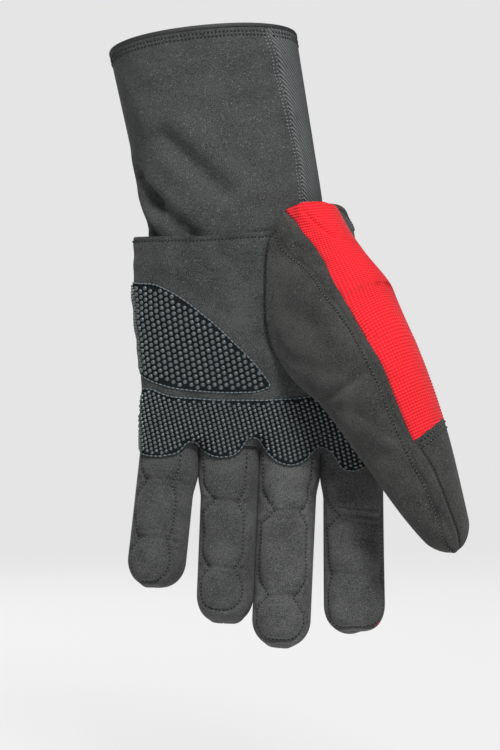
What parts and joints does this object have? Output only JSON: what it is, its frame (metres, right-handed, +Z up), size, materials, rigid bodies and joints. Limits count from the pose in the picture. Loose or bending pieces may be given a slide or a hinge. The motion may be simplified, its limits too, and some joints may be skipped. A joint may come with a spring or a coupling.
{
  "type": "ski glove",
  "caption": "Left-hand ski glove with a long soft cuff, suede palm and stalls, dotted rubber grip patches and red knit on the back and thumb.",
  "frame": {"origin": "middle of the cuff's mouth", "axes": "+Z up out of the cuff's mouth along the glove, +Y out of the back of the hand, +X towards the thumb"},
  "size_m": [0.1576, 0.0895, 0.2759],
  "materials": {
    "suede": "napped dark grey suede",
    "softshell": "matt speckled dark grey softshell",
    "twill": "grey diagonal twill",
    "red_knit": "red ribbed knit",
    "dotted_rubber": "dark rubber with raised dots",
    "fleece": "black brushed fleece",
    "tape": "black woven tape"
  },
  "bodies": {
    "cuff": {"cuff_front": "softshell", "cuff_side": "twill", "cuff_binding": "tape", "cuff_lining": "fleece"},
    "hand": {"wrist_gaiter": "softshell", "palm_panel": "suede", "back_panel": "red_knit", "wrist_yoke": "suede", "hand_lining": "fleece", "finger_web": "suede", "heel_patch": "dotted_rubber", "grip_patch": "dotted_rubber", "thumb_saddle": "suede", "thumb_saddle_band": "red_knit", "thumb_root_fold": "suede"},
    "little_base": {"little_base_front": "suede", "little_base_back": "red_knit", "little_middle_fold": "suede", "little_lining": "fleece"},
    "little_middle": {"little_middle_front": "suede", "little_middle_back": "red_knit", "little_end_fold": "suede"},
    "little_tip": {"little_tip_front": "suede", "little_tip_back": "red_knit"},
    "ring_base": {"ring_base_front": "suede", "ring_base_back": "red_knit", "ring_middle_fold": "suede", "ring_lining": "fleece"},
    "ring_middle": {"ring_middle_front": "suede", "ring_middle_back": "red_knit", "ring_end_fold": "suede"},
    "ring_tip": {"ring_tip_front": "suede", "ring_tip_back": "red_knit"},
    "middle_base": {"middle_base_front": "suede", "middle_base_back": "red_knit", "middle_middle_fold": "suede", "middle_lining": "fleece"},
    "middle_middle": {"middle_middle_front": "suede", "middle_middle_back": "red_knit", "middle_end_fold": "suede"},
    "middle_tip": {"middle_tip_front": "suede", "middle_tip_back": "red_knit"},
    "index_base": {"index_base_front": "suede", "index_base_back": "red_knit", "index_middle_fold": "suede", "index_lining": "fleece"},
    "index_middle": {"index_middle_front": "suede", "index_middle_back": "red_knit", "index_end_fold": "suede"},
    "index_tip": {"index_tip_front": "suede", "index_tip_back": "red_knit"},
    "thumb_base": {"thumb_base_front": "suede", "thumb_base_band": "red_knit", "thumb_end_fold": "suede", "thumb_lining": "fleece"},
    "thumb_tip": {"thumb_tip_front": "suede", "thumb_tip_cap": "suede"}
  },
  "joints": [
    {"name": "wrist", "type": "hinge", "parent": "cuff", "child": "hand", "pos_m": [0.0175, 0, -0.079], "axis": [-1, 0, 0], "range_deg": [-25, 30], "stiffness_Nm_per_rad": 0.3, "deforming": ["wrist_gaiter"]},
    {"name": "little_root", "type": "hinge", "parent": "hand", "child": "little_base", "pos_m": [-0.01519, -0.0035, -0.17816], "axis": [-0.9947, 0, 0.1028], "range_deg": [-10, 60], "stiffness_Nm_per_rad": 0.06, "deforming": ["finger_web", "grip_patch", "little_lining"]},
    {"name": "little_middle", "type": "hinge", "parent": "little_base", "child": "little_middle", "pos_m": [-0.01702, -0.00419, -0.19589], "axis": [-0.9947, 0, 0.1028], "range_deg": [-4, 75], "stiffness_Nm_per_rad": 0.05, "deforming": ["little_middle_fold", "little_lining"]},
    {"name": "little_end", "type": "hinge", "parent": "little_middle", "child": "little_tip", "pos_m": [-0.01979, -0.00785, -0.22263], "axis": [-0.9947, 0, 0.1028], "range_deg": [-4, 45], "stiffness_Nm_per_rad": 0.04, "deforming": ["little_end_fold", "little_lining"]},
    {"name": "ring_root", "type": "hinge", "parent": "hand", "child": "ring_base", "pos_m": [0.0117, -0.0035, -0.17995], "axis": [-0.9995, 0, 0.0332], "range_deg": [-10, 60], "stiffness_Nm_per_rad": 0.06, "deforming": ["finger_web", "grip_patch", "ring_lining"]},
    {"name": "ring_middle", "type": "hinge", "parent": "ring_base", "child": "ring_middle", "pos_m": [0.01089, -0.00457, -0.20448], "axis": [-0.9995, 0, 0.0332], "range_deg": [-4, 75], "stiffness_Nm_per_rad": 0.05, "deforming": ["ring_middle_fold", "ring_lining"]},
    {"name": "ring_end", "type": "hinge", "parent": "ring_middle", "child": "ring_tip", "pos_m": [0.00989, -0.00891, -0.23473], "axis": [-0.9995, 0, 0.0332], "range_deg": [-4, 45], "stiffness_Nm_per_rad": 0.04, "deforming": ["ring_end_fold", "ring_lining"]},
    {"name": "middle_root", "type": "hinge", "parent": "hand", "child": "middle_base", "pos_m": [0.0392, -0.0035, -0.18177], "axis": [-0.9986, 0, 0.0523], "range_deg": [-10, 60], "stiffness_Nm_per_rad": 0.06, "deforming": ["finger_web", "grip_patch", "middle_lining"]},
    {"name": "middle_middle", "type": "hinge", "parent": "middle_base", "child": "middle_middle", "pos_m": [0.03777, -0.00469, -0.20908], "axis": [-0.9986, 0, 0.0523], "range_deg": [-4, 75], "stiffness_Nm_per_rad": 0.05, "deforming": ["middle_middle_fold", "middle_lining"]},
    {"name": "middle_end", "type": "hinge", "parent": "middle_middle", "child": "middle_tip", "pos_m": [0.03576, -0.01052, -0.24746], "axis": [-0.9986, 0, 0.0523], "range_deg": [-4, 45], "stiffness_Nm_per_rad": 0.04, "deforming": ["middle_end_fold", "middle_lining"]},
    {"name": "index_root", "type": "hinge", "parent": "hand", "child": "index_base", "pos_m": [0.0673, -0.0035, -0.18362], "axis": [-1, 0, -0.0035], "range_deg": [-10, 24], "stiffness_Nm_per_rad": 0.06, "deforming": ["finger_web", "grip_patch", "index_lining"]},
    {"name": "index_middle", "type": "hinge", "parent": "index_base", "child": "index_middle", "pos_m": [0.0674, -0.00485, -0.21121], "axis": [-1, 0, -0.0035], "range_deg": [-4, 75], "stiffness_Nm_per_rad": 0.05, "deforming": ["index_middle_fold", "index_lining"]},
    {"name": "index_end", "type": "hinge", "parent": "index_middle", "child": "index_tip", "pos_m": [0.06749, -0.00885, -0.23824], "axis": [-1, 0, -0.0035], "range_deg": [-4, 45], "stiffness_Nm_per_rad": 0.04, "deforming": ["index_end_fold", "index_lining"]},
    {"name": "thumb_root", "type": "hinge", "parent": "hand", "child": "thumb_base", "pos_m": [0.07788, -0.03948, -0.14147], "axis": [-0.4867, -0.8715, 0.0598], "range_deg": [-10, 30], "stiffness_Nm_per_rad": 0.15, "deforming": ["thumb_root_fold", "thumb_lining"]},
    {"name": "thumb_end", "type": "hinge", "parent": "thumb_base", "child": "thumb_tip", "pos_m": [0.0861, -0.04716, -0.17636], "axis": [-0.7976, 0.4033, -0.4485], "range_deg": [-6, 45], "stiffness_Nm_per_rad": 0.06, "deforming": ["thumb_end_fold", "thumb_lining"]}
  ]
}
